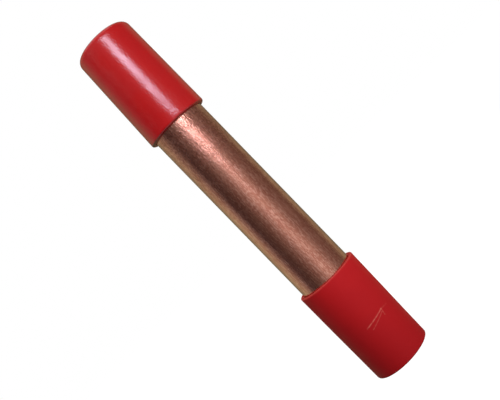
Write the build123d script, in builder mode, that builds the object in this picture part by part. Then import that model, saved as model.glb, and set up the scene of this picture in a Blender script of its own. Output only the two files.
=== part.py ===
# Refrigerant filter drier for a capillary system: a copper tube spun down to a neck at each end,
# a strainer pressed in behind each shoulder, a filling of desiccant beads between the strainers,
# and a push-on vinyl cap over each end that keeps the filling dry until the drier is brazed in.
#
# Millimetres, +Z along the tube. The drier stands on its outlet cap, and the origin is the centre
# of that cap's closed end. The inlet is at the top.
from build123d import *

import os
from math import acos, asin, atan2, degrees, hypot, sqrt, tan
from typing import NamedTuple

os.makedirs("parts", exist_ok=True)

# --- Copper tube ---------------------------------------------------------------------------
tube_diameter = 19.05
tube_wall = 0.75
tube_length = 133.7  # from neck tip to neck tip
tip_deburr = 0.15

inlet_bore = 6.5  # takes a 6.35 mm condenser tube
inlet_neck_wall = 0.9
inlet_neck_length = 10.0
inlet_shoulder_length = 8.0

outlet_bore = 2.5  # takes a 2.0 to 2.3 mm capillary tube
outlet_neck_wall = 1.2
outlet_neck_length = 9.0
outlet_shoulder_length = 9.0

shoulder_bend = 5.0  # outer bend where the tube starts to close
neck_bend = 2.0  # outer bend where the shoulder runs into the neck

# --- Caps ----------------------------------------------------------------------------------
cap_end_thickness = 2.0
cap_side_wall = 1.05  # past the tube's shoulder, where the cap hangs free
cap_fit = 0.05  # radial, between the cap's bore and the tube
cap_seat_gap = 0.1  # axial, between a neck's tip and the cap's closed end
cap_inner_corner_bevel = 0.8
cap_bore_lead_in = 0.25

inlet_cap_length = 35.4
inlet_cap_mouth_wall = 1.45
inlet_cap_draft = 0.72  # radius lost from the mouth to the closed end
inlet_cap_corner_radius = 2.0
inlet_cap_lip_radius = 0.9

outlet_cap_length = 35.0
outlet_cap_mouth_wall = 1.45
outlet_cap_draft = 0.5
outlet_cap_corner_radius = 1.6
outlet_cap_lip_radius = 0.3

# --- Strainers -----------------------------------------------------------------------------
ring_thickness = 0.5
ring_height = 3.2
ring_lip_width = 1.9
ring_lead_in = 0.25
ring_fit = 0.05  # radial, between a ring and the tube
rim_fit = 0.03  # between a mesh rim and the groove that holds it

inlet_mesh_thickness = 0.5
inlet_mesh_depth = 1.6
inlet_mesh_pitch = 1.3
inlet_mesh_gap = 0.8

outlet_mesh_thickness = 0.35
outlet_mesh_depth = 3.0
outlet_mesh_pitch = 1.2
outlet_mesh_gap = 0.65

# --- Desiccant -----------------------------------------------------------------------------
bead_fit = 0.08  # between the filling and what holds it

# --- Radii and heights that follow -----------------------------------------------------------
tube_radius = tube_diameter / 2
tube_inner_radius = tube_radius - tube_wall
inlet_bore_radius = inlet_bore / 2
outlet_bore_radius = outlet_bore / 2
inlet_neck_radius = inlet_bore_radius + inlet_neck_wall
outlet_neck_radius = outlet_bore_radius + outlet_neck_wall

outlet_tip = cap_end_thickness + cap_seat_gap
outlet_neck_base = outlet_tip + outlet_neck_length
outlet_shoulder = outlet_neck_base + outlet_shoulder_length
inlet_tip = outlet_tip + tube_length
inlet_neck_base = inlet_tip - inlet_neck_length
inlet_shoulder = inlet_neck_base - inlet_shoulder_length
overall_length = inlet_tip + cap_seat_gap + cap_end_thickness

# Half the angle that the wall turns through at each shoulder.
inlet_half_turn = atan2(tube_radius - inlet_neck_radius, inlet_shoulder_length) / 2
outlet_half_turn = atan2(tube_radius - outlet_neck_radius, outlet_shoulder_length) / 2

# A strainer stops where the tube's wall starts to bend in.
inlet_strainer_seat = inlet_shoulder - shoulder_bend * tan(inlet_half_turn)
outlet_strainer_seat = outlet_shoulder + shoulder_bend * tan(outlet_half_turn)

cap_bore_radius = tube_radius + cap_fit
ring_outer_radius = tube_inner_radius - ring_fit
ring_groove_radius = ring_outer_radius - ring_thickness
ring_lip_radius = ring_outer_radius - ring_lip_width
mesh_rim_radius = ring_groove_radius - rim_fit
mesh_bowl_rim_radius = ring_lip_radius - rim_fit

UP, DOWN = 1, -1  # the way out of the tube at its inlet and at its outlet


class Cap(NamedTuple):
    """What differs between the two caps."""

    closed_end: float
    outward: int
    length: float
    mouth_wall: float
    draft: float
    corner_radius: float
    lip_radius: float
    shoulder: float


class Strainer(NamedTuple):
    """What differs between the two strainers. Heights are from the seat, positive out of the tube."""

    seat: float
    outward: int
    thickness: float
    depth: float
    pitch: float
    gap: float

    @property
    def rim_top(self):
        return -(ring_thickness + rim_fit)

    @property
    def rim_bottom(self):
        return self.rim_top - self.thickness

    @property
    def lower_lip(self):
        return self.rim_bottom - rim_fit

    @property
    def bowl_radius(self):
        """Radius of the ball that the outside of the bowl is part of."""
        return (mesh_bowl_rim_radius**2 + self.depth**2) / (2 * self.depth)

    @property
    def bowl_centre(self):
        return self.rim_top + self.depth - self.bowl_radius


inlet_cap_shape = Cap(
    overall_length,
    UP,
    inlet_cap_length,
    inlet_cap_mouth_wall,
    inlet_cap_draft,
    inlet_cap_corner_radius,
    inlet_cap_lip_radius,
    inlet_shoulder,
)
outlet_cap_shape = Cap(
    0,
    DOWN,
    outlet_cap_length,
    outlet_cap_mouth_wall,
    outlet_cap_draft,
    outlet_cap_corner_radius,
    outlet_cap_lip_radius,
    outlet_shoulder,
)
inlet_strainer = Strainer(
    inlet_strainer_seat,
    UP,
    inlet_mesh_thickness,
    inlet_mesh_depth,
    inlet_mesh_pitch,
    inlet_mesh_gap,
)
outlet_strainer = Strainer(
    outlet_strainer_seat,
    DOWN,
    outlet_mesh_thickness,
    outlet_mesh_depth,
    outlet_mesh_pitch,
    outlet_mesh_gap,
)


def end_section(height, outward):
    """Section plane through the axis: local X is the radius, local Y the way out, 0 at the height."""
    return Plane(origin=(0, 0, height), x_dir=(1, 0, 0), z_dir=(0, -outward, 0))


def finish(part, name):
    """Labels a finished piece and writes it."""
    part.label = name
    export_step(part, f"parts/{name}.step")


# --- The tube --------------------------------------------------------------------------------
def spun_tube():
    """One piece of tube: its outer and inner outlines, joined at the neck tips and revolved. The
    inner corners lie nearer the middle than the outer ones, so that the wall keeps its thickness
    round the bends."""
    with BuildPart() as tube:
        with BuildSketch(Plane.XZ):
            with BuildLine():
                outer = FilletPolyline(
                    (outlet_neck_radius, outlet_tip),
                    (outlet_neck_radius, outlet_neck_base),
                    (tube_radius, outlet_shoulder),
                    (tube_radius, inlet_shoulder),
                    (inlet_neck_radius, inlet_neck_base),
                    (inlet_neck_radius, inlet_tip),
                    radius=[neck_bend, shoulder_bend, shoulder_bend, neck_bend],
                )
                inner = FilletPolyline(
                    (outlet_bore_radius, outlet_tip),
                    (outlet_bore_radius, outlet_neck_base + outlet_neck_wall * tan(outlet_half_turn)),
                    (tube_inner_radius, outlet_shoulder + tube_wall * tan(outlet_half_turn)),
                    (tube_inner_radius, inlet_shoulder - tube_wall * tan(inlet_half_turn)),
                    (inlet_bore_radius, inlet_neck_base - inlet_neck_wall * tan(inlet_half_turn)),
                    (inlet_bore_radius, inlet_tip),
                    radius=[
                        neck_bend + outlet_neck_wall,
                        shoulder_bend - tube_wall,
                        shoulder_bend - tube_wall,
                        neck_bend + inlet_neck_wall,
                    ],
                )
                Line(outer @ 0, inner @ 0)
                Line(outer @ 1, inner @ 1)
            make_face()
        revolve(axis=Axis.Z)
        tips = tube.faces().filter_by(Plane.XY)
        chamfer(tips.edges(), tip_deburr)
    return tube.part


# --- The caps --------------------------------------------------------------------------------
def push_on_cap(cap):
    """A moulded cap with a drafted outside. Its bore grips the straight tube up to the shoulder, and
    from there it closes in gently, with an even wall at the closed end."""
    mouth_radius = cap_bore_radius + cap.mouth_wall
    end_radius = mouth_radius - cap.draft
    hollow_end_radius = min(end_radius - cap_side_wall, cap_bore_radius)
    depth = cap.length - cap_end_thickness
    grip_length = cap.length - abs(cap.closed_end - cap.shoulder)
    mouth = cap.closed_end - cap.outward * cap.length
    with BuildPart() as moulding:
        with BuildSketch(end_section(mouth, cap.outward)):
            with BuildLine():
                Polyline(
                    (cap_bore_radius, 0),
                    (mouth_radius, 0),
                    (end_radius, cap.length),
                    (0, cap.length),
                    (0, depth),
                    (hollow_end_radius, depth),
                    (cap_bore_radius, grip_length),
                    close=True,
                )
            make_face()
        revolve(axis=Axis.Z)
        way_out = Axis((0, 0, mouth), (0, 0, cap.outward))
        rims = moulding.edges().filter_by(GeomType.CIRCLE).group_by(way_out)
        bore_rim, outer_rim = rims[0].sort_by(SortBy.RADIUS)
        fillet(rims[-1], cap.corner_radius)
        fillet(outer_rim, cap.lip_radius)
        chamfer(rims[-2], cap_inner_corner_bevel)
        chamfer(bore_rim, cap_bore_lead_in)
    return moulding.part


# --- The strainers ---------------------------------------------------------------------------
def clinched_ring(strainer):
    """A pressed ring: a collar that fits the tube, a lip at its outer end, and a second lip rolled
    over the rim of the mesh."""
    with BuildPart() as ring:
        with BuildSketch(end_section(strainer.seat, strainer.outward)):
            with BuildLine():
                Polyline(
                    (ring_outer_radius, 0),
                    (ring_lip_radius, 0),
                    (ring_lip_radius, -ring_thickness),
                    (ring_groove_radius, -ring_thickness),
                    (ring_groove_radius, strainer.lower_lip),
                    (ring_lip_radius, strainer.lower_lip),
                    (ring_lip_radius, strainer.lower_lip - ring_thickness),
                    (ring_groove_radius, strainer.lower_lip - ring_thickness),
                    (ring_groove_radius, -ring_height),
                    (ring_outer_radius, -ring_height),
                    close=True,
                )
            make_face()
        revolve(axis=Axis.Z)
        way_out = Axis((0, 0, strainer.seat), (0, 0, strainer.outward))
        leading_rims = ring.edges().filter_by(GeomType.CIRCLE).group_by(way_out)[-1]
        chamfer(leading_rims.sort_by(SortBy.RADIUS)[-1], ring_lead_in)
    return ring.part


def dished_mesh(strainer):
    """Wire cloth pressed to a shallow bowl that bulges out of the tube, with a flat rim for the ring.
    The openings between its wires are square holes on a grid, all inside the bowl."""
    inner_bowl_radius = strainer.bowl_radius - strainer.thickness
    outer_turn = degrees(asin(mesh_bowl_rim_radius / strainer.bowl_radius))
    inner_turn = degrees(acos((strainer.rim_bottom - strainer.bowl_centre) / inner_bowl_radius))
    centre = (0, strainer.bowl_centre)
    reach = mesh_bowl_rim_radius - strainer.gap
    steps = int(reach / strainer.pitch)
    rows = [step * strainer.pitch for step in range(-steps, steps + 1)]
    with BuildPart() as mesh:
        with BuildSketch(end_section(strainer.seat, strainer.outward)):
            with BuildLine():
                outside = CenterArc(centre, strainer.bowl_radius, 90, -outer_turn)
                inside = CenterArc(centre, inner_bowl_radius, 90, -inner_turn)
                Polyline(
                    outside @ 1,
                    (mesh_rim_radius, strainer.rim_top),
                    (mesh_rim_radius, strainer.rim_bottom),
                    inside @ 1,
                )
                Line(inside @ 0, outside @ 0)
            make_face()
        revolve(axis=Axis.Z)
        with BuildSketch(Plane.XY.offset(strainer.seat)):
            with Locations(*[(x, y) for x in rows for y in rows if hypot(x, y) <= reach]):
                Rectangle(strainer.gap, strainer.gap)
        extrude(amount=strainer.depth + ring_height, both=True, mode=Mode.SUBTRACT)
    return mesh.part


# --- The filling -----------------------------------------------------------------------------
def bead_filling(strainers):
    """The beads as one packed body, which fills the tube between the strainers and runs on through
    each ring into the bowl of its mesh."""
    seats = sorted(strainer.seat for strainer in strainers)
    length = seats[1] - seats[0] - 2 * (ring_height + bead_fit)
    with BuildPart() as filling:
        with BuildSketch(Plane.XY.offset(seats[0] + ring_height + bead_fit)):
            Circle(tube_inner_radius - bead_fit)
        extrude(amount=length)
        for strainer in strainers:
            ball_radius = strainer.bowl_radius - strainer.thickness - bead_fit
            throat_radius = ring_lip_radius - bead_fit
            collar_radius = ring_groove_radius - bead_fit
            collar_top = strainer.lower_lip - ring_thickness - bead_fit
            throat_top = strainer.bowl_centre + sqrt(ball_radius**2 - throat_radius**2)
            turn = degrees(asin(throat_radius / ball_radius))
            with BuildSketch(end_section(strainer.seat, strainer.outward)):
                with BuildLine():
                    CenterArc((0, strainer.bowl_centre), ball_radius, 90, -turn)
                    Polyline(
                        (throat_radius, throat_top),
                        (throat_radius, collar_top),
                        (collar_radius, collar_top),
                        (collar_radius, -ring_height - bead_fit),
                        (0, -ring_height - bead_fit),
                        (0, strainer.bowl_centre + ball_radius),
                    )
                make_face()
            revolve(axis=Axis.Z)
    return filling.part


finish(spun_tube(), "copper_shell")
finish(push_on_cap(inlet_cap_shape), "inlet_cap")
finish(push_on_cap(outlet_cap_shape), "outlet_cap")
finish(clinched_ring(inlet_strainer), "inlet_strainer_ring")
finish(clinched_ring(outlet_strainer), "outlet_strainer_ring")
finish(dished_mesh(inlet_strainer), "inlet_strainer_mesh")
finish(dished_mesh(outlet_strainer), "outlet_strainer_mesh")
finish(bead_filling([inlet_strainer, outlet_strainer]), "desiccant_beads")
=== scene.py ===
import math

import bpy
import numpy as np
from mathutils import Matrix, Vector


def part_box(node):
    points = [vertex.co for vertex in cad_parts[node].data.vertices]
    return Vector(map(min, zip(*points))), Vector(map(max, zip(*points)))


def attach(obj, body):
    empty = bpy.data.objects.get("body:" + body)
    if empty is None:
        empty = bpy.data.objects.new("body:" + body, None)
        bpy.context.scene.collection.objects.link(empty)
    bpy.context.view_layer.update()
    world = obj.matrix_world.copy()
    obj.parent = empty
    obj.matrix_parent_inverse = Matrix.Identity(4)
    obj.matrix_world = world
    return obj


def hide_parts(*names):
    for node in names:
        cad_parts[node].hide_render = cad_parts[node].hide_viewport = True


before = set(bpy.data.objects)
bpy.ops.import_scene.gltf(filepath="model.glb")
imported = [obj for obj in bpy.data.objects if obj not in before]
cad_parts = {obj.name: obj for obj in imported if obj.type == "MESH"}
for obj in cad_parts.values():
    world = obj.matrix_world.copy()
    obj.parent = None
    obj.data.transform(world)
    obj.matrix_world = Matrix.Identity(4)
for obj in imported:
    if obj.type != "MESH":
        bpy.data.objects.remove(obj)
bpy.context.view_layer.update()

MM = 0.001
TURN = 2 * math.pi

# --- Sizes read from the frame -------------------------------------------------------------------
shell_low, shell_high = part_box("copper_shell")
inlet_cap_low, inlet_cap_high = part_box("inlet_cap")
outlet_cap_low, outlet_cap_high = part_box("outlet_cap")
TUBE_RADIUS = round(shell_high.x, 6)
OUTLET_TIP = shell_low.z
INLET_TIP = shell_high.z

# --- Sizes of the tube, as in the solids ---------------------------------------------------------
TUBE_WALL = 0.75 * MM
INLET_BORE_RADIUS = 3.25 * MM
INLET_NECK_WALL = 0.9 * MM
INLET_NECK_LENGTH = 10.0 * MM
INLET_SHOULDER_LENGTH = 8.0 * MM
OUTLET_BORE_RADIUS = 1.25 * MM
OUTLET_NECK_WALL = 1.2 * MM
OUTLET_NECK_LENGTH = 9.0 * MM
OUTLET_SHOULDER_LENGTH = 9.0 * MM
SHOULDER_BEND = 5.0 * MM
NECK_BEND = 2.0 * MM
TIP_DEBURR = 0.15 * MM

# Heights at which each neck meets its shoulder, and each shoulder the straight body.
INLET_BASE = INLET_TIP - INLET_NECK_LENGTH
OUTLET_BASE = OUTLET_TIP + OUTLET_NECK_LENGTH
INLET_SHOULDER = INLET_BASE - INLET_SHOULDER_LENGTH
OUTLET_SHOULDER = OUTLET_BASE + OUTLET_SHOULDER_LENGTH

# --- Sizes of the caps, as in the solids ---------------------------------------------------------
CAP_FIT = 0.05 * MM
CAP_END_THICKNESS = 2.0 * MM
CAP_SIDE_WALL = 1.05 * MM
CAP_INNER_CORNER = 0.8 * MM
CAP_LEAD_IN = 0.25 * MM
INLET_MOUTH_WALL = 1.45 * MM
INLET_DRAFT = 0.72 * MM
INLET_CORNER_RADIUS = 2.0 * MM
INLET_LIP_RADIUS = 0.55 * MM
INLET_LIP_DROP = 0.35 * MM  # how far the lip's inner edge stands past the outer one
INLET_LEAN = 0.0145  # sideways over the way from the mouth, towards +X
OUTLET_MOUTH_WALL = 1.45 * MM
OUTLET_DRAFT = 0.5 * MM
OUTLET_CORNER_RADIUS = 0.4 * MM
OUTLET_LIP_RADIUS = 0.3 * MM
OUTLET_SLANT = 0.030  # rise of the closed end over the way towards +X
CAP_SKIN_DEPTH = 0.5 * MM  # how far into the vinyl its outside waves and leans
CAP_SWELL = 0.04 * MM
CAP_WAVE_TURNS = (1, 2, 2, 3, 4)  # waves once round the cap
CAP_WAVE_RISES = (60, 330)  # least and most radians that a wave turns over a metre of height
INLET_CAP_SEED = 11
OUTLET_CAP_SEED = 12

# --- Sizes of the strainers and the beads --------------------------------------------------------
WIRE_SIDES = 6
WIRE_STEPS = 4  # points of a wire from one crossing to the next
WIRE_SLACK = 0.98  # share of the wire's thickness that is drawn, so that crossing wires don't merge
BOWL_RIM_RADIUS = 6.795 * MM
CLOTH_RIM_RADIUS = 8.15 * MM
CLOTH_RIM_TOP = -0.53 * MM  # from the strainer's seat, against the way out
FILL_RADIUS = 8.695 * MM
COLLAR_RADIUS = 8.145 * MM
COLLAR_DEPTH = 3.2 * MM
THROAT_RADIUS = 6.745 * MM
THROAT_DEPTH = 1.5 * MM
COLLAR_EASE = 0.4  # how far from the collar and the throat the beads draw in, in bead radii
THROAT_EASE = 0.6
BEAD_RADIUS = 1.25 * MM
SMALLEST_BEAD = 0.93  # against the largest
BEAD_COLUMNS = 8
BEAD_RINGS = 4
BEAD_COUNT = 1580
BEAD_SIZE_SEED = 8
PACKING_SEED = 5
PACKING_ROUNDS = 60
PACKING_EASE = 0.6  # share of each round's push that is made
NEIGHBOURS = 75  # a bead is pushed from those that come fewer places than this before or after it
GOLDEN_SHARE = 0.618034  # of a turn, from one bead to the next at the start
LEAST_GAP = 1e-9  # added to a distance before it divides
LEAST_REACH = 1e-12

# --- Fineness of the surfaces --------------------------------------------------------------------
AROUND = 288  # columns round a turned surface
ARC_STEP = 0.12  # about the radians between two points of an arc
ARC_LEAST_STEPS = 3
TUBE_STEP = 2 * MM  # most between two points of an outline's straight stretches
CAP_STEP = 1 * MM

# --- Places of the finishes ----------------------------------------------------------------------
HAZE_LOW = 72 * MM  # where the copper's haze towards the inlet begins, and where it is full
HAZE_HIGH = 90 * MM
WAVES_LOW = 45 * MM  # where its waves start to grow, and where they are full
WAVES_HIGH = 85 * MM
FURROWS_LOW = 45 * MM  # where its drawn furrows start to fade, and where they are shallowest
FURROWS_HIGH = 80 * MM
SPUN_EDGE = 1 * MM  # over which the spun rings begin, each side of a shoulder's start

# Scales of a place for each axis. A pattern on it is drawn out along the tube by one over the last.
LINES_STRETCH = (1, 1, 0.012)
DRAWN_STRETCH = (1, 1, 0.30)
SMOKE_STRETCH = (1, 1, 0.55)
RUBBED_STRETCH = (1, 1, 8)

# The painted highlight round the outlet cap's mouth, a paler red where its rim catches the light: how
# far below the mouth it begins, and is full.
RIM_LIGHT_LOW = 0.45 * MM
RIM_LIGHT_HIGH = 0.1 * MM

# --- Colours of the finishes: red, green, blue and opacity ---------------------------------------
CLEAN_COPPER = (0.80, 0.37, 0.265, 1)
SMOKY_COPPER = (0.62, 0.25, 0.172, 1)
LINE_COPPER = (0.52, 0.205, 0.14, 1)
FLECK_COPPER = (0.92, 0.50, 0.38, 1)
SOOTY_COPPER = (0.40, 0.158, 0.118, 1)
INLET_RED = (0.50, 0.006, 0.007, 1)
INLET_DEEP_RED = (0.475, 0.005, 0.007, 1)
OUTLET_RED = (0.545, 0.012, 0.014, 1)
OUTLET_DEEP_RED = (0.515, 0.011, 0.014, 1)
# Painted shade: the darker red that the outlet cap is painted towards at its closed end.
SHADED_END_RED = (0.395, 0.008, 0.010, 1)
# Painted highlight: the pale red of the outlet cap's lit mouth rim.
LIT_RIM_RED = (0.78, 0.16, 0.12, 1)
SCUFFED_RED = (0.80, 0.22, 0.16, 1)
DARK_ZINC = (0.52, 0.53, 0.54, 1)
BRIGHT_ZINC = (0.66, 0.67, 0.68, 1)
DARK_WIRE = (0.42, 0.41, 0.39, 1)
BRIGHT_WIRE = (0.60, 0.59, 0.57, 1)
DARK_CLAY = (0.56, 0.47, 0.35, 1)
PALE_CLAY = (0.70, 0.62, 0.50, 1)
SPECK_CLAY = (0.40, 0.31, 0.22, 1)
BLACK = (0, 0, 0, 1)
WHITE = (1, 1, 1, 1)
FLOOR_GREY = (0.30, 0.30, 0.30, 1)
ROOM_LIGHT = (0.03, 0.03, 0.03, 1)


# --- Surfaces ------------------------------------------------------------------------------------
def rounded(corners, radii):
    """Points of a polyline whose inner corners are arcs. Each arc touches both of its sides at the
    radius times the tangent of half the turn from the corner, and its centre lies on the corner's
    bisector. A spoke of it is its first one times the sine of the turn that is left, plus its last
    one times the sine of the turn that is made, over the sine of the whole turn."""
    corners = np.asarray(corners, float)
    points = [corners[:1]]
    for before, corner, after, radius in zip(corners, corners[1:], corners[2:], radii):
        towards = (before - corner) / np.linalg.norm(before - corner)
        away = (after - corner) / np.linalg.norm(after - corner)
        turn = math.pi - math.acos(np.clip(towards @ away, -1, 1))
        reach = radius * math.tan(turn / 2)
        bisector = (towards + away) / np.linalg.norm(towards + away)
        centre = corner + bisector * radius / math.cos(turn / 2)
        start = corner + towards * reach - centre
        end = corner + away * reach - centre
        steps = max(ARC_LEAST_STEPS, int(turn / ARC_STEP))
        share = np.linspace(0, 1, steps + 1)[:, None]
        spoke = start * np.sin((1 - share) * turn) + end * np.sin(share * turn)
        points.append(centre + spoke / math.sin(turn))
    points.append(corners[-1:])
    return np.vstack(points)


def spaced(outline, step):
    """The same outline with points added along its long straight stretches, a step apart at most."""
    pieces = []
    for start, end in zip(outline, outline[1:]):
        count = max(1, math.ceil(np.linalg.norm(end - start) / step))
        share = np.arange(count)[:, None] / count
        pieces.append(start + (end - start) * share)
    pieces.append(outline[-1:])
    return np.vstack(pieces)


def new_piece(name, points, faces):
    """A smooth-shaded object at the origin with that mesh."""
    mesh = bpy.data.meshes.new(name)
    mesh.from_pydata(points.tolist(), [], faces)
    mesh.polygons.foreach_set("use_smooth", np.ones(len(mesh.polygons), bool))
    mesh.update()
    piece = bpy.data.objects.new(name, mesh)
    bpy.context.scene.collection.objects.link(piece)
    return piece


def straight(angle, radius, height):
    """Places a turned surface's points without moving them."""
    return radius * np.sin(angle), -radius * np.cos(angle), height


def turned(name, outline, shape=None, loop=False):
    """A surface of revolution: at angle a, the outline's point (r, z) goes to (r sin a, -r cos a, z),
    or to the place that shape(a, r, z) gives. The outline runs from axis to axis and its end points
    become poles, or it is a loop. It keeps the solid on its left, seen with r to the right and z up."""
    angle = np.linspace(0, TURN, AROUND, endpoint=False)[None, :]
    rings = outline if loop else outline[1:-1]
    radius = np.repeat(rings[:, 0:1], AROUND, 1)
    height = np.repeat(rings[:, 1:2], AROUND, 1)
    place = shape or straight
    points = np.stack(place(angle, radius, height), -1).reshape(-1, 3)
    index = np.arange(len(rings) * AROUND).reshape(len(rings), AROUND)
    lower = index if loop else index[:-1]
    upper = np.roll(index, -1, 0) if loop else index[1:]
    quads = np.stack([lower, np.roll(lower, -1, 1), np.roll(upper, -1, 1), upper], -1)
    faces = quads.reshape(-1, 4).tolist()
    if not loop:
        first = len(points)
        last = first + 1
        poles = place(np.zeros(2), np.zeros(2), outline[[0, -1], 1])
        points = np.vstack([points, np.stack(poles, -1)])
        faces += np.stack([np.full(AROUND, first), np.roll(index[0], -1), index[0]], -1).tolist()
        faces += np.stack([np.full(AROUND, last), index[-1], np.roll(index[-1], -1)], -1).tolist()
    return new_piece(name, points, faces)


# --- The tube ------------------------------------------------------------------------------------
def tube_outline():
    """Outer wall from the outlet's tip to the inlet's, then the bore back again. The bore's corners are
    the outer ones, moved in by the wall and along by the wall times the tangent of half the turn."""
    inlet_neck = INLET_BORE_RADIUS + INLET_NECK_WALL
    outlet_neck = OUTLET_BORE_RADIUS + OUTLET_NECK_WALL
    inlet_tangent = math.tan(math.atan2(TUBE_RADIUS - inlet_neck, INLET_SHOULDER_LENGTH) / 2)
    outlet_tangent = math.tan(math.atan2(TUBE_RADIUS - outlet_neck, OUTLET_SHOULDER_LENGTH) / 2)
    inside = TUBE_RADIUS - TUBE_WALL
    outer = rounded(
        [
            (outlet_neck - TIP_DEBURR, OUTLET_TIP),
            (outlet_neck, OUTLET_TIP + TIP_DEBURR),
            (outlet_neck, OUTLET_BASE),
            (TUBE_RADIUS, OUTLET_SHOULDER),
            (TUBE_RADIUS, INLET_SHOULDER),
            (inlet_neck, INLET_BASE),
            (inlet_neck, INLET_TIP - TIP_DEBURR),
            (inlet_neck - TIP_DEBURR, INLET_TIP),
        ],
        [TIP_DEBURR / 2, NECK_BEND, SHOULDER_BEND, SHOULDER_BEND, NECK_BEND, TIP_DEBURR / 2],
    )
    bore = rounded(
        [
            (INLET_BORE_RADIUS + TIP_DEBURR, INLET_TIP),
            (INLET_BORE_RADIUS, INLET_TIP - TIP_DEBURR),
            (INLET_BORE_RADIUS, INLET_BASE - INLET_NECK_WALL * inlet_tangent),
            (inside, INLET_SHOULDER - TUBE_WALL * inlet_tangent),
            (inside, OUTLET_SHOULDER + TUBE_WALL * outlet_tangent),
            (OUTLET_BORE_RADIUS, OUTLET_BASE + OUTLET_NECK_WALL * outlet_tangent),
            (OUTLET_BORE_RADIUS, OUTLET_TIP + TIP_DEBURR),
            (OUTLET_BORE_RADIUS + TIP_DEBURR, OUTLET_TIP),
        ],
        [
            TIP_DEBURR / 2,
            NECK_BEND + INLET_NECK_WALL,
            SHOULDER_BEND - TUBE_WALL,
            SHOULDER_BEND - TUBE_WALL,
            NECK_BEND + OUTLET_NECK_WALL,
            TIP_DEBURR / 2,
        ],
    )
    return spaced(np.vstack([outer, bore]), TUBE_STEP)


# --- The caps ------------------------------------------------------------------------------------
def cap_outline(length, mouth_wall, draft, corner_radius, lip_radius, grip, drop=0.0):
    """Outline of a cap with its mouth at 0 and its closed end at its length: the end, the drafted
    side, the lip, the bore, and the hollow behind the tube's shoulder. The lip slopes down by the
    drop from its outer edge to its inner one."""
    bore = TUBE_RADIUS + CAP_FIT
    mouth = bore + mouth_wall
    end = mouth - draft
    hollow = end - CAP_SIDE_WALL
    depth = length - CAP_END_THICKNESS
    inner_radii = [CAP_LEAD_IN / 2] * 3 + [CAP_LEAD_IN / 4] * 2
    return rounded(
        [
            (0, depth),
            (hollow - CAP_INNER_CORNER, depth),
            (hollow, depth - CAP_INNER_CORNER),
            (bore, grip),
            (bore, CAP_LEAD_IN - drop),
            (bore + CAP_LEAD_IN, -drop),
            (mouth, 0),
            (end, length),
            (0, length),
        ],
        inner_radii + [lip_radius, corner_radius],
    )


def uneven(angle, height, seed):
    """Slow waves of a soft moulding: sines of the angle times the wave's turns, plus the height times
    its rise, plus its own phase. Together they stay between minus and plus the swell."""
    random = np.random.default_rng(seed)
    count = len(CAP_WAVE_TURNS)
    rises = random.uniform(*CAP_WAVE_RISES, count)
    phases = random.uniform(0, TURN, count)
    return sum(
        CAP_SWELL / count * np.sin(turn * angle + rise * height + phase)
        for turn, rise, phase in zip(CAP_WAVE_TURNS, rises, phases)
    )


def skin_share(radius):
    """0 in a cap's bore and 1 on its outside, rising evenly with the radius over the skin's depth."""
    return np.clip((radius - TUBE_RADIUS - CAP_FIT) / CAP_SKIN_DEPTH, 0, 1)


def make_inlet_cap():
    """The cap leans to +X: outside, by a share of the way from the mouth, and inside, from the tube's
    shoulder on, where the bore lets go of the tube."""
    length = inlet_cap_high.z - inlet_cap_low.z
    grip = INLET_SHOULDER - inlet_cap_low.z
    outline = cap_outline(
        length,
        INLET_MOUTH_WALL,
        INLET_DRAFT,
        INLET_CORNER_RADIUS,
        INLET_LIP_RADIUS,
        grip,
        INLET_LIP_DROP,
    )
    outline = spaced(outline, CAP_STEP) + [0, inlet_cap_low.z]

    def lean(angle, radius, height):
        way = height - inlet_cap_low.z
        outside = np.maximum(skin_share(radius), np.clip((way - grip) / (length - grip), 0, 1))
        sideways = INLET_LEAN * way * outside
        radius = radius + uneven(angle, height, INLET_CAP_SEED) * skin_share(radius)
        return radius * np.sin(angle) + sideways, -radius * np.cos(angle), height

    return turned("inlet_cap_vinyl", outline, lean)


def make_outlet_cap():
    """The closed end slants: it rises by a share of the way across from its -X side. The slant is
    whole up to the top of the closed end and fades evenly to nothing at the base of the outlet's
    neck."""
    length = outlet_cap_high.z - outlet_cap_low.z
    grip = outlet_cap_high.z - OUTLET_SHOULDER
    outline = cap_outline(
        length, OUTLET_MOUTH_WALL, OUTLET_DRAFT, OUTLET_CORNER_RADIUS, OUTLET_LIP_RADIUS, grip
    )
    outline = spaced(outline, CAP_STEP) * [1, -1] + [0, outlet_cap_high.z]
    reach = outlet_cap_high.x - OUTLET_DRAFT
    end_top = outlet_cap_low.z + CAP_END_THICKNESS

    def slant(angle, radius, height):
        across = radius * np.sin(angle) + reach
        share = np.clip(1 - (height - end_top) / (OUTLET_BASE - end_top), 0, 1)
        radius = radius + uneven(angle, height, OUTLET_CAP_SEED) * skin_share(radius)
        height = height + OUTLET_SLANT * across * share
        return radius * np.sin(angle), -radius * np.cos(angle), height

    return turned("outlet_cap_vinyl", outline[::-1], slant)


# --- The strainers -------------------------------------------------------------------------------
class Weave:
    """What differs between the two wire cloths: their seat's height, outward, +1 at the inlet and -1
    at the outlet, the wire's thickness, the pitch of the wires and the bowl's depth. The bowl is part
    of a ball, whose radius is the rim's radius squared plus the depth squared, over twice the
    depth."""

    def __init__(self, seat, outward, wire, pitch, depth):
        self.seat = seat
        self.outward = outward
        self.wire = wire
        self.pitch = pitch
        self.depth = depth
        self.ball = (BOWL_RIM_RADIUS**2 + depth**2) / (2 * depth)

    def rise(self, radius):
        """Height of the cloth's middle over its flat rim: a part of a ball inside the bowl's rim."""
        inside = np.clip(radius, 0, BOWL_RIM_RADIUS)
        return np.sqrt(self.ball**2 - inside**2) - (self.ball - self.depth)


INLET_CLOTH = Weave(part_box("inlet_strainer_ring")[1].z, 1, 0.24 * MM, 0.65 * MM, 1.6 * MM)
OUTLET_CLOTH = Weave(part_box("outlet_strainer_ring")[0].z, -1, 0.17 * MM, 0.45 * MM, 3.0 * MM)


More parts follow.
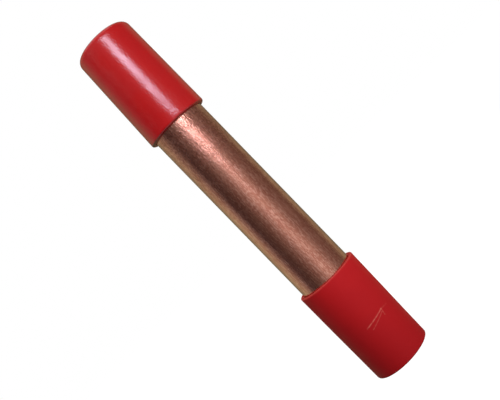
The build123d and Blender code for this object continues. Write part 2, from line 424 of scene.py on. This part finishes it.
def round_wire(path, level, radius):
    """Rings of points round a path: each is the path's point, plus the radius times the cosine of an
    angle along the level direction and its sine along the direction square to that and the path."""
    tangent = np.gradient(path, axis=0)
    tangent /= np.linalg.norm(tangent, axis=1)[:, None]
    second = np.cross(tangent, level)
    second /= np.linalg.norm(second, axis=1)[:, None]
    turn = np.linspace(0, TURN, WIRE_SIDES, endpoint=False)
    circle = np.cos(turn)[None, :, None] * level + np.sin(turn)[None, :, None] * second[:, None, :]
    return (path[:, None, :] + circle * radius).reshape(-1, 3)


def woven_cloth(name, cloth):
    """Plain weave of round wires. Wire k runs along one direction at k pitches across, and its middle
    is on the bowl, plus half a wire times the cosine of pi times its way along in pitches, so that it
    goes over one crossing wire and under the next. Crossing wires go the other way."""
    rows = int(CLOTH_RIM_RADIUS / cloth.pitch)
    offsets = np.arange(-rows, rows + 1) * cloth.pitch
    samples = 2 * rows * WIRE_STEPS + 1
    points = []
    faces = []
    start = 0
    for direction in (0, 1):
        level = np.zeros(3)
        level[1 - direction] = 1
        for row, offset in zip(range(-rows, rows + 1), offsets):
            half = math.sqrt(CLOTH_RIM_RADIUS**2 - offset**2)
            if half < cloth.pitch:
                continue
            along = np.linspace(-half, half, samples)
            across = np.full(samples, offset)
            phase = math.pi * (row + direction)
            wave = 0.5 * cloth.wire * np.cos(math.pi * along / cloth.pitch + phase)
            rise = cloth.rise(np.hypot(along, across)) + wave
            path = np.stack([along, across, rise] if direction == 0 else [across, along, rise], -1)
            points.append(round_wire(path, level, cloth.wire / 2 * WIRE_SLACK))
            index = start + np.arange(samples * WIRE_SIDES).reshape(samples, WIRE_SIDES)
            beside = np.roll(index, -1, 1)
            quads = np.stack([index[:-1], beside[:-1], beside[1:], index[1:]], -1).reshape(-1, 4)
            faces += quads.tolist() + [index[0][::-1].tolist(), index[-1].tolist()]
            start += samples * WIRE_SIDES
    if cloth.outward < 0:
        faces = [face[::-1] for face in faces]
    points = np.vstack(points)
    points[:, 2] = cloth.seat + cloth.outward * (CLOTH_RIM_TOP - cloth.wire + points[:, 2])
    return new_piece(name, points, faces)


# --- The desiccant -------------------------------------------------------------------------------
def bead_room(height):
    """Radius of the space that the beads' centres have at a height: the tube's, and near each end the
    collar's and then the throat's, each less a bead's radius. In a bowl it is the square root of the
    ball's radius squared less the way from its centre squared."""
    room = np.full_like(height, FILL_RADIUS - BEAD_RADIUS)
    for cloth in (INLET_CLOTH, OUTLET_CLOTH):
        above = cloth.outward * (height - cloth.seat)
        ball = cloth.ball - cloth.wire * 2 - BEAD_RADIUS
        centre = CLOTH_RIM_TOP + cloth.depth - cloth.ball
        in_bowl = np.sqrt(np.clip(ball**2 - (above - centre) ** 2, 0, None))
        collar = COLLAR_RADIUS - BEAD_RADIUS
        throat = THROAT_RADIUS - BEAD_RADIUS
        in_collar = above > -COLLAR_DEPTH - BEAD_RADIUS * COLLAR_EASE
        in_throat = above > -THROAT_DEPTH - BEAD_RADIUS * THROAT_EASE
        room = np.where(in_collar, np.minimum(room, collar), room)
        room = np.where(in_throat, np.minimum(room, throat), room)
        room = np.where(above > centre, np.minimum(room, in_bowl), room)
    return room


def packed_centres():
    """Centres of the beads. They start spread evenly at random and are then pushed apart, round by
    round: both beads of a pair that is nearer than a bead's diameter move by half of what is missing,
    times the ease, and each bead is brought back into the room that it has."""
    random = np.random.default_rng(PACKING_SEED)
    low = OUTLET_CLOTH.seat - CLOTH_RIM_TOP - OUTLET_CLOTH.depth + 2 * OUTLET_CLOTH.wire + BEAD_RADIUS
    high = INLET_CLOTH.seat + CLOTH_RIM_TOP + INLET_CLOTH.depth - 2 * INLET_CLOTH.wire - BEAD_RADIUS
    heights = low + (high - low) * (np.arange(BEAD_COUNT) + 0.5) / BEAD_COUNT
    radii = bead_room(heights) * np.sqrt(random.uniform(0, 1, BEAD_COUNT))
    angles = np.arange(BEAD_COUNT) * TURN * GOLDEN_SHARE
    centres = np.stack([radii * np.cos(angles), radii * np.sin(angles), heights], -1)
    for _ in range(PACKING_ROUNDS):
        centres = centres[np.argsort(centres[:, 2])]
        push = np.zeros_like(centres)
        for shift in range(1, NEIGHBOURS):
            gap = centres[shift:] - centres[:-shift]
            distance = np.linalg.norm(gap, axis=1) + LEAST_GAP
            missing = np.clip(2 * BEAD_RADIUS - distance, 0, None)
            move = gap * (missing / distance * 0.5)[:, None]
            push[shift:] += move
            push[:-shift] -= move
        centres += push * PACKING_EASE
        centres[:, 2] = np.clip(centres[:, 2], low, high)
        reach = np.hypot(centres[:, 0], centres[:, 1]) + LEAST_REACH
        allowed = np.minimum(reach, bead_room(centres[:, 2]))
        centres[:, :2] *= (allowed / reach)[:, None]
    return centres


def bead_filling():
    """Round beads: the same small ball of a few columns and rings and two poles, times each bead's
    size and moved to its centre. A point of the ball is the sine of the angle from the top times the
    cosine and sine of the angle round, and the cosine of the angle from the top."""
    centres = packed_centres()
    columns = BEAD_COLUMNS
    rings = BEAD_RINGS
    polar = np.pi * np.arange(1, rings + 1) / (rings + 1)
    azimuth = TURN * np.arange(columns) / columns
    ball = np.stack(
        [
            np.outer(np.sin(polar), np.cos(azimuth)),
            np.outer(np.sin(polar), np.sin(azimuth)),
            np.outer(np.cos(polar), np.ones(columns)),
        ],
        -1,
    ).reshape(-1, 3)
    ball = np.vstack([ball, [[0, 0, 1], [0, 0, -1]]])
    index = np.arange(rings * columns).reshape(rings, columns)
    over = np.roll(index, -1, 1)
    quads = np.stack([index[:-1], index[1:], over[1:], over[:-1]], -1).reshape(-1, 4)
    top = rings * columns
    bottom = top + 1
    first = np.stack([np.full(columns, top), index[0], over[0]], -1)
    last = np.stack([np.full(columns, bottom), over[-1], index[-1]], -1)
    random = np.random.default_rng(BEAD_SIZE_SEED)
    sizes = BEAD_RADIUS * random.uniform(SMALLEST_BEAD, 1.0, len(centres))
    points = (centres[:, None, :] + sizes[:, None, None] * ball[None, :, :]).reshape(-1, 3)
    starts = np.arange(len(centres))[:, None, None] * len(ball)
    faces = (quads[None] + starts).reshape(-1, 4).tolist()
    faces += (np.vstack([first, last])[None] + starts).reshape(-1, 3).tolist()
    return new_piece("desiccant_balls", points, faces)


# --- Materials -----------------------------------------------------------------------------------
class Nodes:
    """A node tree, with short ways to add a node and feed its sockets. Most give the node's output."""

    def __init__(self, tree):
        self.tree = tree

    def add(self, kind, **settings):
        node = self.tree.nodes.new(kind)
        for key, value in settings.items():
            setattr(node, key, value)
        return node

    def feed(self, socket, value):
        """Links an output to the socket, or sets the socket to a plain value."""
        if isinstance(value, bpy.types.NodeSocket):
            self.tree.links.new(value, socket)
        else:
            socket.default_value = value

    def place(self):
        """A point's place on the piece, in metres."""
        return self.add("ShaderNodeTexCoord").outputs["Object"]

    def stretched(self, vector, scale):
        """A place times a scale for each axis, so that a pattern on it is long where that is small."""
        mapping = self.add("ShaderNodeMapping")
        self.feed(mapping.inputs["Vector"], vector)
        self.feed(mapping.inputs["Scale"], scale)
        return mapping.outputs["Vector"]

    def noise(self, vector, scale, detail=2.0, roughness=0.5):
        """Clouds about a half, with a scale in clouds to the metre."""
        node = self.add("ShaderNodeTexNoise")
        self.feed(node.inputs["Vector"], vector)
        self.feed(node.inputs["Scale"], scale)
        self.feed(node.inputs["Detail"], detail)
        self.feed(node.inputs["Roughness"], roughness)
        return node.outputs["Fac"]

    def math(self, operation, first, second=0.0, clamp=False):
        node = self.add("ShaderNodeMath", operation=operation, use_clamp=clamp)
        self.feed(node.inputs[0], first)
        self.feed(node.inputs[1], second)
        return node.outputs[0]

    def vector(self, operation, first, second=None, output="Vector"):
        node = self.add("ShaderNodeVectorMath", operation=operation)
        self.feed(node.inputs[0], first)
        if second is not None:
            self.feed(node.inputs[1], second)
        return node.outputs[output]

    def parts(self, vector):
        node = self.add("ShaderNodeSeparateXYZ")
        self.feed(node.inputs[0], vector)
        return node.outputs["X"], node.outputs["Y"], node.outputs["Z"]

    def joined(self, x, y, z):
        node = self.add("ShaderNodeCombineXYZ")
        for socket, value in zip(node.inputs, (x, y, z)):
            self.feed(socket, value)
        return node.outputs["Vector"]

    def azimuth(self, x, y):
        """Angle round +Z from -Y towards +X: the arc tangent of x over minus y."""
        return self.math("ARCTAN2", x, self.math("MULTIPLY", y, -1.0))

    def spread(self, value, low, high, to_low=0.0, to_high=1.0):
        """Carries low to to_low and high to to_high, evenly between them and level beyond them."""
        node = self.add("ShaderNodeMapRange")
        names = ("Value", "From Min", "From Max", "To Min", "To Max")
        for key, item in zip(names, (value, low, high, to_low, to_high)):
            self.feed(node.inputs[key], item)
        return node.outputs["Result"]

    def mix(self, share, first, second):
        """The first colour, with a share of the second."""
        node = self.add("ShaderNodeMix", data_type="RGBA")
        self.feed(node.inputs["Factor"], share)
        self.feed(node.inputs["A"], first)
        self.feed(node.inputs["B"], second)
        return node.outputs["Result"]

    def bump(self, height):
        """A normal from a height in metres."""
        node = self.add("ShaderNodeBump")
        self.feed(node.inputs["Distance"], 1.0)
        self.feed(node.inputs["Height"], height)
        return node.outputs["Normal"]

    def use(self, group, **values):
        """Places a group with its own values, and gives the node's outputs."""
        node = self.add("ShaderNodeGroup", node_tree=group)
        for key, value in values.items():
            self.feed(node.inputs[key], value)
        return node.outputs


class Shader(Nodes):
    """A new material's nodes."""

    def __init__(self, name):
        self.material = bpy.data.materials.new(name)
        self.material.use_nodes = True
        super().__init__(self.material.node_tree)
        self.surface = self.tree.nodes["Principled BSDF"]

    def dress(self, **values):
        """Feeds the surface's sockets, with _ for a space in their names, and gives the material."""
        for key, value in values.items():
            self.feed(self.surface.inputs[key.replace("_", " ")], value)
        return self.material

    def mottled(self, place, scale, first, second):
        """The mottle's colour, and its clouds as a share."""
        made = self.use(MOTTLE, Place=place, Scale=scale, First=first, Second=second)
        return made["Colour"], made["Clouds"]

    def relief(self, place, waves, swell, grains, grit):
        """The relief's height."""
        made = self.use(RELIEF, Place=place, Waves=waves, Swell=swell, Grains=grains, Grit=grit)
        return made["Height"]


def new_group(name, inputs, outputs):
    """An empty shader node group with those sockets, as its nodes, its inputs and its outputs."""
    tree = bpy.data.node_groups.new(name, "ShaderNodeTree")
    for direction, sockets in (("INPUT", inputs), ("OUTPUT", outputs)):
        for socket, kind in sockets.items():
            tree.interface.new_socket(name=socket, in_out=direction, socket_type="NodeSocket" + kind)
    nodes = Nodes(tree)
    given = nodes.add("NodeGroupInput").outputs
    result = nodes.add("NodeGroupOutput").inputs
    return nodes, given, result


def mottle_group():
    """Soft clouds of one colour in another."""
    nodes, given, result = new_group(
        "mottle",
        {"Place": "Vector", "Scale": "Float", "First": "Color", "Second": "Color"},
        {"Colour": "Color", "Clouds": "Float"},
    )
    clouds = nodes.noise(given["Place"], given["Scale"], detail=3.0, roughness=0.55)
    share = nodes.spread(clouds, 0.34, 0.66)
    nodes.feed(result["Colour"], nodes.mix(share, given["First"], given["Second"]))
    nodes.feed(result["Clouds"], share)
    return nodes.tree


def relief_group():
    """Height in metres: the waves times their swell, plus a finer grain times its grit."""
    nodes, given, result = new_group(
        "relief",
        {"Place": "Vector", "Waves": "Float", "Swell": "Float", "Grains": "Float", "Grit": "Float"},
        {"Height": "Float"},
    )
    waves = nodes.math("MULTIPLY", nodes.noise(given["Place"], given["Waves"]), given["Swell"])
    grain = nodes.noise(given["Place"], given["Grains"], roughness=0.6)
    grain = nodes.math("MULTIPLY", grain, given["Grit"])
    nodes.feed(result["Height"], nodes.math("ADD", waves, grain))
    return nodes.tree


def scratch_group():
    """1 on a straight mark from its start along a way, in millimetres round and up the cap, and 0
    away from it: the distance to the nearest point of the mark, which is the way times the share of
    it, held between 0 and 1, that the place has reached."""
    nodes, given, result = new_group(
        "scratch",
        {"Place": "Vector", "Start": "Vector", "Way": "Vector", "Width": "Float"},
        {"Mark": "Float"},
    )
    offset = nodes.vector("SUBTRACT", given["Place"], given["Start"])
    reached = nodes.vector("DOT_PRODUCT", offset, given["Way"], output="Value")
    length_squared = nodes.vector("DOT_PRODUCT", given["Way"], given["Way"], output="Value")
    share = nodes.math("DIVIDE", reached, length_squared, clamp=True)
    nearest = nodes.add("ShaderNodeVectorMath", operation="SCALE")
    nodes.feed(nearest.inputs[0], given["Way"])
    nodes.feed(nearest.inputs["Scale"], share)
    away = nodes.vector("SUBTRACT", offset, nearest.outputs[0])
    distance = nodes.vector("LENGTH", away, output="Value")
    nodes.feed(result["Mark"], nodes.spread(distance, 0.0, given["Width"], 1.0, 0.0))
    return nodes.tree


MOTTLE = mottle_group()
RELIEF = relief_group()
SCRATCH = scratch_group()


def copper():
    """Drawn copper: smoky tarnish, dark fine lines along the tube, bright flecks, a hazy and sooty
    stretch towards the inlet, and rings round both shoulders where they were spun. Its height is the
    sum of the waves, the lines, the flecks' grain and the rings, each times its own depth."""
    shader = Shader("drawn_copper")
    place = shader.place()
    height = shader.parts(place)[2]
    hazy = shader.spread(height, HAZE_LOW, HAZE_HIGH)
    drawn = shader.stretched(place, DRAWN_STRETCH)
    lines = shader.noise(shader.stretched(place, LINES_STRETCH), 3300, detail=3.0, roughness=0.6)
    grain = shader.noise(drawn, 2300, roughness=0.7)
    specks = shader.noise(place, 1450, roughness=0.65)
    rings = shader.noise(shader.joined(0.0, 0.0, height), 2200, detail=3.0, roughness=0.6)

    smoky = shader.stretched(place, SMOKE_STRETCH)
    colour, clouds = shader.mottled(smoky, 300, CLEAN_COPPER, SMOKY_COPPER)
    colour = shader.mix(shader.spread(lines, 0.42, 0.64, 0.0, 0.62), colour, LINE_COPPER)
    colour = shader.mix(shader.spread(grain, 0.46, 0.62, 0.0, 0.75), colour, FLECK_COPPER)
    soot = shader.math("MULTIPLY", shader.spread(specks, 0.46, 0.60, 0.0, 0.62), hazy)
    colour = shader.mix(soot, colour, SOOTY_COPPER)

    roughness = shader.spread(clouds, 0.0, 1.0, 0.12, 0.25)
    roughness = shader.math("ADD", roughness, shader.math("MULTIPLY", hazy, 0.095))

    middle = (OUTLET_SHOULDER + INLET_SHOULDER) / 2
    reach = INLET_SHOULDER - middle
    off_middle = shader.math("ABSOLUTE", shader.math("SUBTRACT", height, middle))
    waves = shader.relief(drawn, waves=320, swell=0.05 * MM, grains=1250, grit=0.018 * MM)
    calm = shader.spread(height, WAVES_LOW, WAVES_HIGH, 0.32, 0.92)
    furrow = shader.spread(height, FURROWS_LOW, FURROWS_HIGH, 0.042 * MM, 0.024 * MM)
    grit = shader.spread(hazy, 0.0, 1.0, 0.036 * MM, 0.072 * MM)
    spun = shader.spread(off_middle, reach - SPUN_EDGE, reach + SPUN_EDGE, 0.0, 0.10 * MM)
    relief = shader.math("MULTIPLY", waves, calm)
    for pattern, depth in ((lines, furrow), (grain, grit), (rings, spun)):
        relief = shader.math("ADD", relief, shader.math("MULTIPLY", pattern, depth))
    return shader.dress(
        Base_Color=colour,
        Roughness=roughness,
        Normal=shader.bump(relief),
        Metallic=1.0,
    )


def inlet_vinyl():
    """Glossy vinyl: two close reds in soft clouds, a gloss that follows them, and the slow waves and
    fine pebbles of a dipped skin."""
    shader = Shader("glossy_red_vinyl")
    place = shader.place()
    colour, clouds = shader.mottled(place, 130, INLET_RED, INLET_DEEP_RED)
    relief = shader.relief(place, waves=330, swell=0.045 * MM, grains=1900, grit=0.055 * MM)
    return shader.dress(
        Base_Color=colour,
        Roughness=shader.spread(clouds, 0.0, 1.0, 0.17, 0.25),
        Normal=shader.bump(relief),
        Specular_IOR_Level=0.5,
    )


# Light scuffs on the outlet's cap: start and way, round and up the cap in millimetres, width, depth.
SCUFFS = (
    ((5.5, 17.6), (-7.7, -1.3), 0.30, 0.60),
    ((5.0, 16.8), (-6.0, -1.9), 0.24, 0.32),
    ((5.5, 17.6), (-0.4, -2.0), 0.28, 0.35),
    ((8.4, 17.2), (-2.9, 0.4), 0.30, 0.16),
)


def outlet_vinyl():
    """Duller vinyl, with painted shade that darkens its red towards the closed end, a painted highlight
    that makes it paler round the mouth, and a few light scuffs. The scuffs lie on the cap unrolled: its
    azimuth times its radius, and its height."""
    shader = Shader("dull_red_vinyl")
    place = shader.place()
    x, y, z = shader.parts(place)
    colour, clouds = shader.mottled(place, 130, OUTLET_RED, OUTLET_DEEP_RED)
    # Painted shade: the red darkens evenly from the mouth to the closed end, standing in for the light
    # that falls off there.
    painted_end_shade = shader.spread(z, outlet_cap_low.z, outlet_cap_high.z, 1.0, 0.0)
    colour = shader.mix(painted_end_shade, colour, SHADED_END_RED)
    # Painted highlight: a paler red over the last half millimetre below the mouth, where the rim
    # catches the light.
    rim = shader.spread(z, outlet_cap_high.z - RIM_LIGHT_LOW, outlet_cap_high.z - RIM_LIGHT_HIGH, 0.0, 0.26)
    colour = shader.mix(rim, colour, LIT_RIM_RED)
    round_way = shader.math("MULTIPLY", shader.azimuth(x, y), outlet_cap_high.x / MM)
    unrolled = shader.joined(round_way, shader.math("MULTIPLY", z, 1 / MM), 0.0)
    broken = shader.spread(shader.noise(place, 1500, roughness=0.6), 0.35, 0.60, 0.35, 1.0)
    for start, way, width, strength in SCUFFS:
        scuff = shader.use(SCRATCH, Place=unrolled, Start=(*start, 0), Way=(*way, 0), Width=width)
        share = shader.math("MULTIPLY", shader.math("MULTIPLY", scuff["Mark"], broken), strength)
        colour = shader.mix(share, colour, SCUFFED_RED)
    relief = shader.relief(place, waves=420, swell=0.030 * MM, grains=4200, grit=0.006 * MM)
    return shader.dress(
        Base_Color=colour,
        Roughness=shader.spread(clouds, 0.0, 1.0, 0.5, 0.6),
        Normal=shader.bump(relief),
        Specular_IOR_Level=0.15,
    )


def plated_steel():
    """Zinc plate: a spangle of two greys, and a faint rub round the ring."""
    shader = Shader("zinc_plated_steel")
    place = shader.place()
    colour, clouds = shader.mottled(place, 700, DARK_ZINC, BRIGHT_ZINC)
    rubbed = shader.stretched(place, RUBBED_STRETCH)
    relief = shader.relief(rubbed, waves=900, swell=0.006 * MM, grains=3000, grit=0.002 * MM)
    return shader.dress(
        Base_Color=colour,
        Roughness=shader.spread(clouds, 0.0, 1.0, 0.25, 0.40),
        Normal=shader.bump(relief),
        Metallic=1.0,
    )


def wire_cloth():
    """Dull steel wire, in small clouds of two greys that also vary its gloss."""
    shader = Shader("steel_wire_cloth")
    colour, clouds = shader.mottled(shader.place(), 1500, DARK_WIRE, BRIGHT_WIRE)
    roughness = shader.spread(clouds, 0.0, 1.0, 0.28, 0.45)
    return shader.dress(Base_Color=colour, Roughness=roughness, Metallic=1.0)


def fired_clay():
    """Fired clay: clouds of two buffs, darker specks, and a rough skin."""
    shader = Shader("desiccant_clay")
    place = shader.place()
    colour = shader.mottled(place, 420, DARK_CLAY, PALE_CLAY)[0]
    # Darker specks of clay colour, in small clouds.
    clay_specks = shader.noise(place, 5200, detail=3.0, roughness=0.7)
    colour = shader.mix(shader.spread(clay_specks, 0.55, 0.75, 0.0, 0.6), colour, SPECK_CLAY)
    relief = shader.relief(place, waves=1500, swell=0.02 * MM, grains=5200, grit=0.02 * MM)
    return shader.dress(
        Base_Color=colour, Normal=shader.bump(relief), Roughness=0.85, Specular_IOR_Level=0.3
    )


# --- Studio --------------------------------------------------------------------------------------
CAMERA_DISTANCE = 210.6 * MM
CAMERA_HEIGHT = 69.0 * MM
CAMERA_YAW = math.radians(-0.135)
CAMERA_PITCH = math.radians(0.025)
CAMERA_ROLL = math.radians(-44.15)
NEAREST_SEEN = 5 * MM
FOCAL_LENGTH_PIXELS = 660.5
IMAGE_WIDTH_PIXELS = 500
SENSOR_WIDTH_MM = 36.0

# The light tent's glow, by azimuth in degrees from the camera's side towards +X.
TENT_TONES = (
    (-180, (0.10, 0.10, 0.05)),
    (-150, (0.26, 0.27, 0.17)),
    (-126, (0.47, 0.50, 0.35)),
    (-104, (0.44, 0.44, 0.36)),
    (-88, (0.28, 0.26, 0.27)),
    (-73, (0.07, 0.055, 0.06)),
    (-45, (0.10, 0.08, 0.075)),
    (-22, (0.21, 0.17, 0.16)),
    (0, (0.46, 0.42, 0.42)),
    (17, (0.74, 0.68, 0.68)),
    (42, (0.47, 0.42, 0.41)),
    (60, (0.26, 0.22, 0.21)),
    (106, (0.17, 0.13, 0.11)),
    (126, (0.38, 0.38, 0.26)),
    (150, (0.24, 0.24, 0.15)),
    (180, (0.10, 0.10, 0.05)),
)
TENT_RADIUS = 1.2
TENT_LOW = -1.4
TENT_HIGH = 1.8
TENT_COLUMNS = 96

FLOOR_HEIGHT = -0.062
FLOOR_REACH = 3.0
FLOOR_CORNERS = 64
FLOOR_GLOW_NEAR = (0.2, 0.93)  # metres from the origin, and the glow up to there
FLOOR_GLOW_FAR = (0.8, 1.0)

COOL_WHITE = (0.92, 0.94, 1.15)
COOL_SOFT_WHITE = (0.93, 0.94, 1.14)
WARM_WHITE = (1.0, 0.98, 0.96)

# Soft boxes: name, place, height of the drier's axis that each points at, size, brightness, colour,
# and whether metal and gloss show it.
LAMPS = (
    ("key", (0.144, -0.495, 0.290), 0.09, (0.23, 0.070), 28.0, COOL_WHITE, True),
    ("strip", (0.232, -0.495, 0.222), 0.09, (0.055, 0.058), 14.0, COOL_SOFT_WHITE, True),
    ("right_front", (0.297, -0.297, 0.090), 0.09, (0.28, 0.28), 4.2, WARM_WHITE, False),
    ("left_top", (-0.191, -0.110, 0.250), 0.07, (0.16, 0.16), 3.8, WARM_WHITE, False),
    ("front_top", (-0.075, -0.207, 0.250), 0.07, (0.16, 0.16), 1.6, WARM_WHITE, False),
    ("right_side", (0.418, -0.037, 0.090), 0.09, (0.28, 0.28), 1.0, WARM_WHITE, False),
    ("behind", (0.10, 0.48, 0.30), 0.08, (0.40, 0.40), 3.0, WARM_WHITE, False),
)


def make_camera():
    """Stands in front of the drier, half way up it. Its way forward is +Y turned by the yaw and raised
    by the pitch, and its right and up are the level and upright directions turned by the roll."""
    forward = Vector(
        (
            math.sin(CAMERA_YAW) * math.cos(CAMERA_PITCH),
            math.cos(CAMERA_YAW) * math.cos(CAMERA_PITCH),
            math.sin(CAMERA_PITCH),
        )
    )
    level = forward.cross(Vector((0, 0, 1))).normalized()
    upright = level.cross(forward)
    right = math.cos(CAMERA_ROLL) * level + math.sin(CAMERA_ROLL) * upright
    up = -math.sin(CAMERA_ROLL) * level + math.cos(CAMERA_ROLL) * upright
    data = bpy.data.cameras.new("camera")
    data.sensor_width = SENSOR_WIDTH_MM
    data.lens = FOCAL_LENGTH_PIXELS / IMAGE_WIDTH_PIXELS * SENSOR_WIDTH_MM
    data.clip_start = NEAREST_SEEN
    camera = bpy.data.objects.new("camera", data)
    bpy.context.scene.collection.objects.link(camera)
    turn = Matrix((right, up, -forward)).transposed().to_4x4()
    camera.matrix_world = Matrix.Translation((0, -CAMERA_DISTANCE, CAMERA_HEIGHT)) @ turn
    bpy.context.scene.camera = camera


def make_lamp(name, place, aim, size, brightness, colour, in_gloss):
    """An oval soft box. Its power is pi times its brightness times its area, which is a quarter of pi
    times its two widths."""
    data = bpy.data.lights.new(name, "AREA")
    data.shape = "ELLIPSE"
    data.size, data.size_y = size
    data.energy = math.pi * brightness * math.pi / 4 * size[0] * size[1]
    data.color = colour
    lamp = bpy.data.objects.new(name, data)
    lamp.location = place
    lamp.rotation_euler = (Vector((0, 0, aim)) - Vector(place)).to_track_quat("-Z", "Y").to_euler()
    lamp.visible_camera = False
    lamp.visible_glossy = in_gloss
    bpy.context.scene.collection.objects.link(lamp)


def make_world():
    """White at strength 1 to the camera, and to metal and gloss where the tent is open. Everything
    else gets the room's plain light."""
    world = bpy.data.worlds.new("studio")
    bpy.context.scene.world = world
    world.use_nodes = True
    nodes = Nodes(world.node_tree)
    path = nodes.add("ShaderNodeLightPath").outputs
    seen = path["Is Camera Ray"]
    for ray in ("Is Glossy Ray", "Is Transmission Ray"):
        seen = nodes.math("MAXIMUM", seen, path[ray])
    background = nodes.tree.nodes["Background"]
    nodes.feed(background.inputs["Color"], nodes.mix(seen, ROOM_LIGHT, WHITE))


def make_tent():
    """A round tent of glowing cloth about the object, open at the top, for metal and gloss to show: a
    cylinder whose tone runs smoothly round it."""
    angle = np.linspace(0, TURN, TENT_COLUMNS, endpoint=False)
    rim = np.stack([TENT_RADIUS * np.sin(angle), -TENT_RADIUS * np.cos(angle), 0 * angle], -1)
    points = np.vstack([rim + [0, 0, TENT_LOW], rim + [0, 0, TENT_HIGH]])
    index = np.arange(TENT_COLUMNS)
    after = np.roll(index, -1)
    faces = np.stack([index, index + TENT_COLUMNS, after + TENT_COLUMNS, after], -1).tolist()
    tent = new_piece("light_tent", points, faces)
    shader = Shader("tent_cloth")
    x, y, _ = shader.parts(shader.place())
    ramp = shader.add("ShaderNodeValToRGB")
    ramp.color_ramp.interpolation = "EASE"
    stops = ramp.color_ramp.elements
    while len(stops) < len(TENT_TONES):
        stops.new(0.5)
    for stop, (degrees, tone) in zip(stops, TENT_TONES):
        stop.position = (degrees + 180) / 360
        stop.color = (*tone, 1)
    shader.feed(ramp.inputs["Fac"], shader.spread(shader.azimuth(x, y), -math.pi, math.pi))
    cloth = shader.dress(
        Base_Color=BLACK,
        Specular_IOR_Level=0.0,
        Emission_Color=ramp.outputs["Color"],
        Emission_Strength=1.0,
    )
    tent.data.materials.append(cloth)
    for ray in ("camera", "diffuse", "transmission", "volume_scatter", "shadow"):
        setattr(tent, "visible_" + ray, False)


def make_floor():
    """A wide pale disc under the drier, low enough for its lower cap to be pulled off over it, and
    white to the camera but for a faint shadow."""
    around = np.linspace(0, TURN, FLOOR_CORNERS, endpoint=False)
    level = np.full(FLOOR_CORNERS, FLOOR_HEIGHT)
    points = np.stack([FLOOR_REACH * np.cos(around), FLOOR_REACH * np.sin(around), level], -1)
    floor = new_piece("floor", points, [list(range(FLOOR_CORNERS))])
    shader = Shader("pale_floor")
    distance = shader.vector("LENGTH", shader.place(), output="Value")
    near, near_glow = FLOOR_GLOW_NEAR
    far, far_glow = FLOOR_GLOW_FAR
    glow = shader.spread(distance, near, far, near_glow, far_glow)
    grey = shader.add("ShaderNodeCombineColor")
    for channel in ("Red", "Green", "Blue"):
        shader.feed(grey.inputs[channel], glow)
    pale = shader.dress(
        Base_Color=FLOOR_GREY,
        Roughness=1.0,
        Specular_IOR_Level=0.0,
        Emission_Color=grey.outputs["Color"],
        Emission_Strength=1.0,
    )
    floor.data.materials.append(pale)
    floor.visible_glossy = False
    floor.visible_diffuse = False


# --- Making --------------------------------------------------------------------------------------
bpy.context.scene.view_settings.view_transform = "Standard"
make_camera()
make_world()
make_tent()
make_floor()
for lamp in LAMPS:
    make_lamp(*lamp)

copper_tube = turned("drawn_copper_tube", tube_outline(), loop=True)
copper_tube.data.materials.append(copper())
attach(copper_tube, "drier")
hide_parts("copper_shell")

for cap, body, node, skin in (
    (make_inlet_cap(), "inlet_cap_body", "inlet_cap", inlet_vinyl()),
    (make_outlet_cap(), "outlet_cap_body", "outlet_cap", outlet_vinyl()),
):
    cap.data.materials.append(skin)
    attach(cap, body)
    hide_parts(node)

steel_cloth = wire_cloth()
for name, cloth, node in (
    ("inlet_wire_cloth", INLET_CLOTH, "inlet_strainer_mesh"),
    ("outlet_wire_cloth", OUTLET_CLOTH, "outlet_strainer_mesh"),
):
    sieve = woven_cloth(name, cloth)
    sieve.data.materials.append(steel_cloth)
    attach(sieve, "drier")
    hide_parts(node)

beads = bead_filling()
beads.data.materials.append(fired_clay())
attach(beads, "drier")
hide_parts("desiccant_beads")

steel = plated_steel()
for node in ("inlet_strainer_ring", "outlet_strainer_ring"):
    for material_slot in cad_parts[node].material_slots:
        material_slot.material = steel
